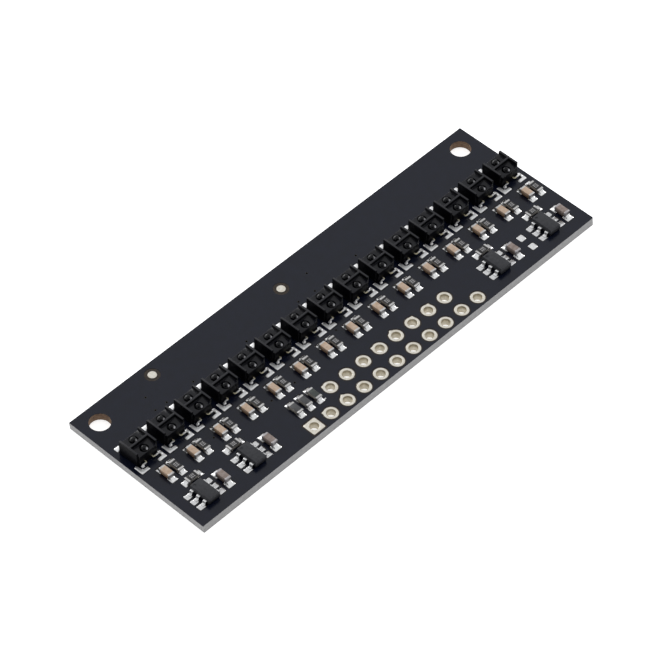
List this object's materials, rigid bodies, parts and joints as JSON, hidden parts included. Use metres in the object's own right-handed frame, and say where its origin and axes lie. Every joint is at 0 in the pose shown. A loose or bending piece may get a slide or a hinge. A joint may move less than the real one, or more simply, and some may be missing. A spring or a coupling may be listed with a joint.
{
  "type": "reflectance sensor board",
  "caption": "Narrow black circuit board with a row of two-window reflective sensors, chip parts, driver chips and a double row of empty header holes.",
  "frame": {"origin": "centre of the board's outline, on the underside", "axes": "+X along the board's length, +Y across it towards the edge with the two mounting holes, +Z out of the face that carries the parts"},
  "size_m": [0.0606, 0.0198, 0.0029],
  "materials": {
    "board": "satin near-black solder mask over glass-epoxy laminate",
    "sensor": "black moulded plastic with clear dark lenses",
    "ceramic_tan": "tan fired ceramic with tinned end bands",
    "ceramic_grey": "grey-brown fired ceramic with tinned end bands",
    "resistor": "black glazed top on white alumina with tinned end bands",
    "header_chip": "dark grey chip body with tinned end bands",
    "driver": "fine-grained moulded epoxy with tinned gull-wing leads"
  },
  "bodies": {
    "root": {"board": "board", "sensor_01": "sensor", "sensor_02": "sensor", "sensor_03": "sensor", "sensor_04": "sensor", "sensor_05": "sensor", "sensor_06": "sensor", "sensor_07": "sensor", "sensor_08": "sensor", "sensor_09": "sensor", "sensor_10": "sensor", "sensor_11": "sensor", "sensor_12": "sensor", "sensor_13": "sensor", "sensor_14": "sensor", "sensor_15": "sensor", "sensor_capacitor_01": "ceramic_tan", "sensor_capacitor_02": "ceramic_tan", "sensor_capacitor_03": "ceramic_tan", "sensor_capacitor_04": "ceramic_tan", "sensor_capacitor_05": "ceramic_tan", "sensor_capacitor_06": "ceramic_tan", "sensor_capacitor_07": "ceramic_tan", "sensor_capacitor_08": "ceramic_tan", "sensor_capacitor_09": "ceramic_tan", "sensor_capacitor_10": "ceramic_tan", "sensor_capacitor_11": "ceramic_tan", "sensor_capacitor_12": "ceramic_tan", "sensor_capacitor_13": "ceramic_tan", "sensor_capacitor_14": "ceramic_tan", "sensor_capacitor_15": "ceramic_tan", "sensor_resistor_01": "resistor", "sensor_resistor_02": "resistor", "sensor_resistor_03": "resistor", "sensor_resistor_04": "resistor", "sensor_resistor_05": "resistor", "sensor_resistor_06": "resistor", "sensor_resistor_07": "resistor", "sensor_resistor_08": "resistor", "sensor_resistor_09": "resistor", "sensor_resistor_10": "resistor", "sensor_resistor_11": "resistor", "sensor_resistor_12": "resistor", "sensor_resistor_13": "resistor", "sensor_resistor_14": "resistor", "sensor_resistor_15": "resistor", "driver_ic_1": "driver", "driver_ic_2": "driver", "driver_ic_3": "driver", "driver_ic_4": "driver", "bulk_capacitor_1": "ceramic_grey", "bulk_capacitor_2": "ceramic_grey", "bulk_capacitor_3": "ceramic_grey", "bulk_capacitor_4": "ceramic_grey", "set_resistor_1": "resistor", "set_resistor_2": "resistor", "set_resistor_3": "resistor", "set_resistor_4": "resistor", "header_chip_1": "header_chip", "header_chip_2": "header_chip"}
  },
  "joints": []
}
